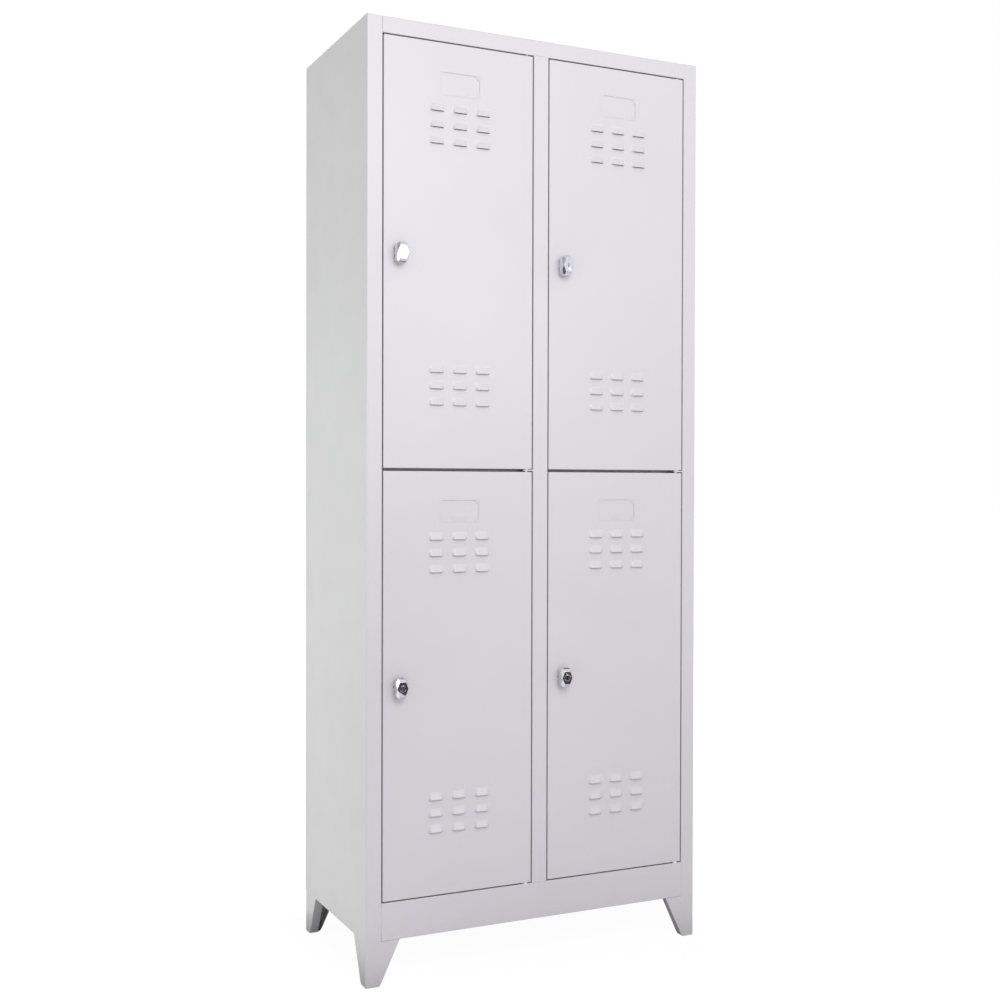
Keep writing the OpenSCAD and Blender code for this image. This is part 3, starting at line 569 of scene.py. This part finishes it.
def make_back_rivets():
    """Dome rivets down both sides of the back panel and along its top."""
    low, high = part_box("back_rivets")
    panel_low, panel_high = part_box("back_panel")
    back = high.y - RIVET_RISE
    sheet = bpy.data.meshes.new("rivet_places")
    first, last = panel_low.z + RIVET_END, panel_high.z - RIVET_END
    places = [(x, back, first + (last - first) * i / (RIVETS_DOWN - 1))
              for x in (low.x + RIVET_RADIUS, high.x - RIVET_RADIUS) for i in range(RIVETS_DOWN)]
    top = high.z - RIVET_RADIUS
    places += [(x, back, top) for x in (high.x / 2 + 0.002, 0.0, low.x / 2 - 0.002)]
    sheet.from_pydata(places, [], [])
    rivets = new_object("dome_rivets", sheet)
    grow(rivets, rivet_tree(), Radius=RIVET_RADIUS, Rise=RIVET_RISE, Finish=ZINC)
    settle(rivets)
    dress(rivets, ZINC)
    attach(rivets, "cabinet")
    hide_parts("back_rivets")


make_back_rivets()

for node, slot in SLOT_OF.items():
    dress(NODES[node], FINISHES[slot])


# ---------- studio ----------

def pale_floor():
    """A lit white floor that stays white under the cabinet, with a trace of a contact shadow."""
    f = Finish("pale_floor")
    tone = f.blend(f.span(f.noise(0.9, 4.0), 0.3, 0.7, 0.0, 1.0),
                   (0.13, 0.13, 0.13), (0.11, 0.11, 0.11))
    f.shader.inputs["Emission Color"].default_value = (1.0, 1.0, 1.0, 1.0)
    f.shader.inputs["Emission Strength"].default_value = 0.93
    material = f.finish(tone, f.span(f.noise(5.0, 3.0), 0.3, 0.7, 0.85, 0.95))
    bm = bmesh.new()
    bmesh.ops.create_grid(bm, x_segments=2, y_segments=2, size=30.0)
    floor = new_object("floor", mesh_of(bm, "floor"))
    dress(floor, material)


def soft_box(name, place, target, size, power, colour):
    """A rectangular lamp aimed at a point."""
    light = bpy.data.lights.new(name, "AREA")
    light.shape, light.size, light.size_y = "RECTANGLE", size[0], size[1]
    light.energy, light.color = power, colour
    lamp = bpy.data.objects.new(name, light)
    lamp.location = place
    lamp.rotation_euler = (Vector(target) - Vector(place)).to_track_quat("-Z", "Y").to_euler()
    lamp.visible_camera = False
    bpy.context.scene.collection.objects.link(lamp)


def flag_card(name, corners, shade, matt_too=False):
    """A studio card that shows only in polished metal, or also dims matt faces."""
    material = bpy.data.materials.new(name)
    material.use_nodes = True
    shader = material.node_tree.nodes["Principled BSDF"]
    shader.inputs["Base Color"].default_value = (shade, shade * 0.95, shade * 1.08, 1.0)
    shader.inputs["Roughness"].default_value = 1.0
    sheet = bpy.data.meshes.new(name)
    sheet.from_pydata(corners, [], [(0, 1, 2, 3)])
    flag = new_object(name, sheet)
    dress(flag, material)
    flag.visible_camera = flag.visible_shadow = False
    flag.visible_diffuse = matt_too
    flag.visible_transmission = flag.visible_volume_scatter = False


def studio():
    """White surroundings, two cool boxes before the doors, one beside, and cards for contrast."""
    pale_floor()
    world = bpy.data.worlds.new("studio")
    world.use_nodes = True
    sky = world.node_tree.nodes["Background"]
    sky.inputs["Color"].default_value = (1.0, 1.0, 1.0, 1.0)
    sky.inputs["Strength"].default_value = 1.0
    bpy.context.scene.world = world
    cool = (1.0, 0.955, 1.07)
    soft_box("key", (-0.35, -2.15, 2.0), (-0.05, -0.19, 1.0), (1.0, 1.2), 23.0, cool)
    soft_box("sheen", (1.15, -3.35, 1.9), (0.1, -0.19, 1.2), (0.7, 1.2), 8.0, cool)
    soft_box("side", (-1.4, 0.0, 1.0), (-0.37, 0.0, 1.0), (0.5, 0.6), 3.0, (0.95, 1.0, 0.96))
    flag_card("floor_card", [(-2.5, -2.4, 0.003), (2.5, -2.4, 0.003), (2.5, -0.25, 0.003),
                             (-2.5, -0.25, 0.003)], 0.66, True)
    flag_card("under_card", [(-0.42, -0.34, 0.002), (0.42, -0.34, 0.002), (0.42, 0.30, 0.002),
                             (-0.42, 0.30, 0.002)], 0.25, True)
    flag_card("side_card", [(-1.9, -1.6, 1.75), (-1.9, 1.8, 1.75), (-1.9, 1.8, 3.1),
                            (-1.9, -1.6, 3.1)], 0.45, True)
    flag_card("low_flag", [(-0.6, -2.5, 0.0), (3.4, -2.5, 0.0), (3.4, -2.5, 0.85),
                           (-0.6, -2.5, 0.85)], 0.06)
    flag_card("ceiling_flag", [(-1.5, -0.4, 3.2), (1.5, -0.4, 3.2), (1.5, 2.4, 3.2),
                               (-1.5, 2.4, 3.2)], 0.04)
    flag_card("left_flag", [(-2.5, -3.0, 0.0), (-2.5, 1.0, 0.0), (-2.5, 1.0, 1.3),
                            (-2.5, -3.0, 1.3)], 0.12)
    view = bpy.context.scene.view_settings
    view.view_transform, view.look = "Standard", "None"


def camera():
    """Eye height, a little to the left of the cabinet."""
    yaw, pitch, roll = math.radians(25.495), math.radians(-0.585), math.radians(0.137)
    ahead = Vector((math.sin(yaw) * math.cos(pitch), math.cos(yaw) * math.cos(pitch),
                    math.sin(pitch)))
    level = Vector((math.cos(yaw), -math.sin(yaw), 0.0))
    up = level.cross(ahead)
    right = level * math.cos(roll) + up * math.sin(roll)
    up = up * math.cos(roll) - level * math.sin(roll)
    turn = Matrix((right, up, -ahead)).transposed()
    lens = bpy.data.cameras.new("camera")
    lens.lens, lens.sensor_width = 48.54, 36.0
    lens.clip_start, lens.clip_end = 0.05, 200.0
    eye = bpy.data.objects.new("camera", lens)
    eye.matrix_world = Matrix.Translation((-1.2411, -2.59235, 0.9569)) @ turn.to_4x4()
    bpy.context.scene.collection.objects.link(eye)
    bpy.context.scene.camera = eye


studio()
camera()
